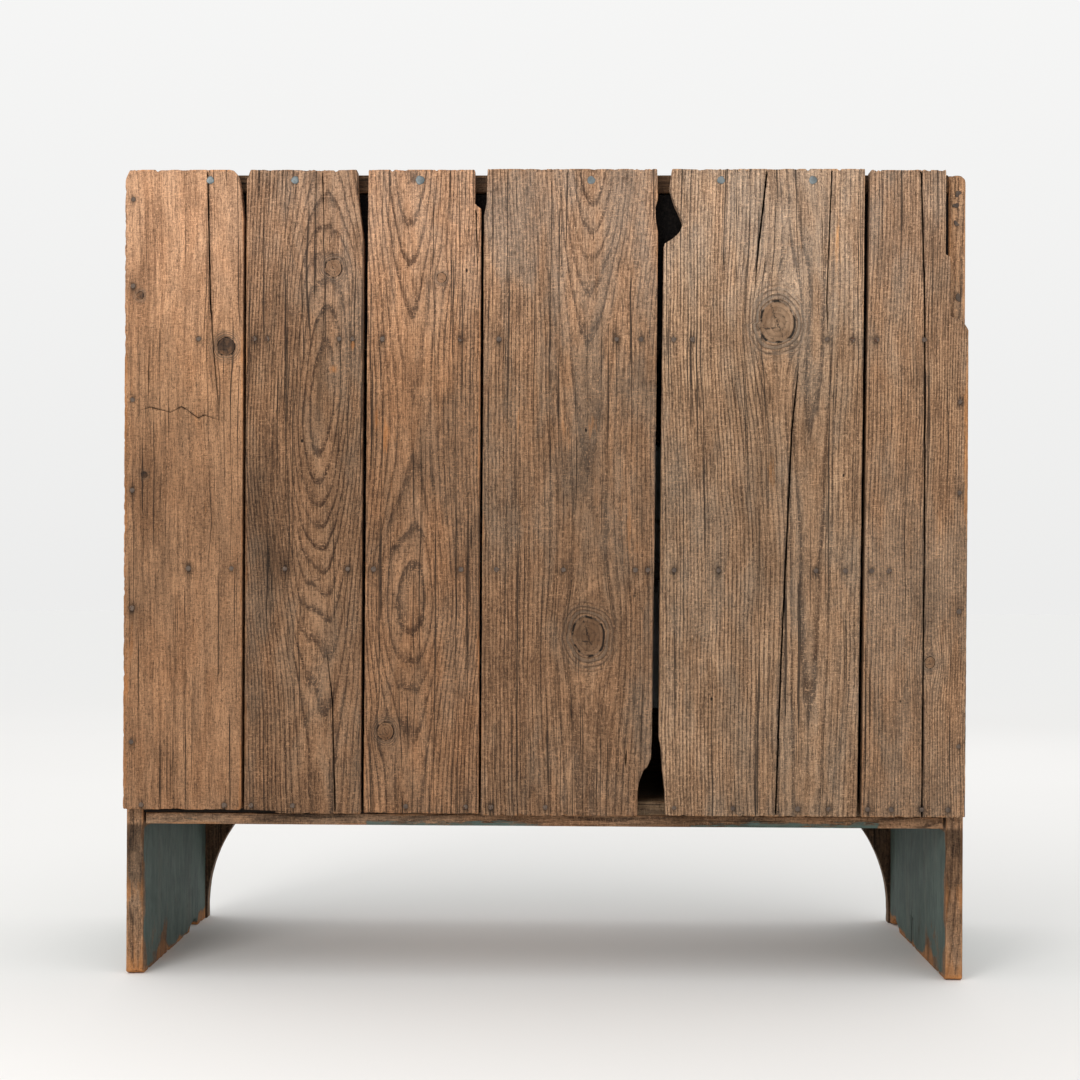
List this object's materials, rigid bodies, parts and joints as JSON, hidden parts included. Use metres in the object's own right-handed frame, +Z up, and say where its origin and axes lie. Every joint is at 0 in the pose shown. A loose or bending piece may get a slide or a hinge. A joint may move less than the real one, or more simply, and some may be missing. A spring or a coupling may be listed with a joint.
{
  "type": "icebox",
  "caption": "Lift-top icebox with a plank back on side-board feet: a zinc-lined, drained ice well under a hinged lid, and a shelved food cupboard closed by a pair of battened doors",
  "frame": {"origin": "the centre of the overall box, on the floor", "axes": "+Z is up; the doors face -Y; the plank back faces +Y; +X is to the right of someone facing the doors"},
  "size_m": [1.07, 0.4826, 1.0365],
  "materials": {
    "weathered_pine": "weathered, bare",
    "bare_pine": "bare, aged",
    "painted_pine": "worn blue-green paint",
    "cork": "tarred cork board",
    "zinc_faced_cork": "cork board faced with dull zinc sheet",
    "zinc": "dull oxidised sheet",
    "brass": "tarnished",
    "rusty_iron": "rusty",
    "galvanised_steel": "dull grey",
    "felt": "felt"
  },
  "bodies": {
    "case": {"side_board_left": "painted_pine", "side_board_right": "painted_pine", "back_plank_1": "weathered_pine", "back_plank_2": "weathered_pine", "back_plank_3": "weathered_pine", "back_plank_4": "weathered_pine", "back_plank_5": "weathered_pine", "back_plank_6": "weathered_pine", "top_board": "painted_pine", "well_floor": "bare_pine", "food_shelf": "bare_pine", "bottom_board": "bare_pine", "under_board": "painted_pine", "shelf_cleats": "bare_pine", "stile_left": "painted_pine", "stile_right": "painted_pine", "well_front": "painted_pine", "bottom_rail": "painted_pine", "mullion": "painted_pine", "door_stops": "bare_pine", "insulation_long_pads": "cork", "insulation_end_pads": "cork", "insulation_floor_pad": "cork", "zinc_liner": "zinc", "drain_pipe": "zinc", "drain_ferrule": "brass", "cut_nails": "rusty_iron", "galvanised_nails": "galvanised_steel", "lid_fixed_leaves": "rusty_iron", "lid_hinge_pins": "rusty_iron", "left_fixed_leaves": "rusty_iron", "left_hinge_pins": "rusty_iron", "right_fixed_leaves": "rusty_iron", "right_hinge_pins": "rusty_iron", "button_screws": "rusty_iron"},
    "lid": {"lid_front_board": "painted_pine", "lid_rear_board": "painted_pine", "lid_battens": "bare_pine", "lid_pad": "zinc_faced_cork", "lid_hinge_leaves": "rusty_iron", "lid_staple": "rusty_iron"},
    "ring": {"lid_ring": "rusty_iron"},
    "rack": {"rack_slats": "bare_pine", "rack_runners": "bare_pine"},
    "left_door": {"left_door_outer_board": "painted_pine", "left_door_inner_board": "painted_pine", "left_door_battens": "bare_pine", "left_door_pad": "zinc_faced_cork", "left_door_gasket": "felt", "left_door_knob": "painted_pine", "left_door_leaves": "rusty_iron"},
    "right_door": {"right_door_outer_board": "painted_pine", "right_door_inner_board": "painted_pine", "right_door_battens": "bare_pine", "right_door_pad": "zinc_faced_cork", "right_door_gasket": "felt", "right_door_knob": "painted_pine", "right_door_leaves": "rusty_iron"},
    "upper_button": {"upper_button": "bare_pine"},
    "lower_button": {"lower_button": "bare_pine"}
  },
  "joints": [
    {"name": "lid_hinge", "type": "hinge", "parent": "case", "child": "lid", "pos_m": [0, 0.1177, 1.0314], "axis": [-1, 0, 0], "range_deg": [0, 100]},
    {"name": "ring_hinge", "type": "hinge", "parent": "lid", "child": "ring", "pos_m": [0, -0.1363, 1.0294], "axis": [-1, 0, 0], "range_deg": [0, 100]},
    {"name": "rack_lift", "type": "slide", "parent": "case", "child": "rack", "axis": [0, 0, 1], "range_m": [0, 0.1]},
    {"name": "left_door_hinge", "type": "hinge", "parent": "case", "child": "left_door", "pos_m": [-0.4395, -0.2147, 0.516], "axis": [0, 0, -1], "range_deg": [0, 110]},
    {"name": "right_door_hinge", "type": "hinge", "parent": "case", "child": "right_door", "pos_m": [0.4395, -0.2147, 0.516], "axis": [0, 0, 1], "range_deg": [0, 110]},
    {"name": "upper_button_turn", "type": "hinge", "parent": "case", "child": "upper_button", "pos_m": [0, -0.2165, 0.65], "axis": [0, -1, 0], "range_deg": [0, 90]},
    {"name": "lower_button_turn", "type": "hinge", "parent": "case", "child": "lower_button", "pos_m": [0, -0.2165, 0.382], "axis": [0, -1, 0], "range_deg": [0, 90]}
  ]
}
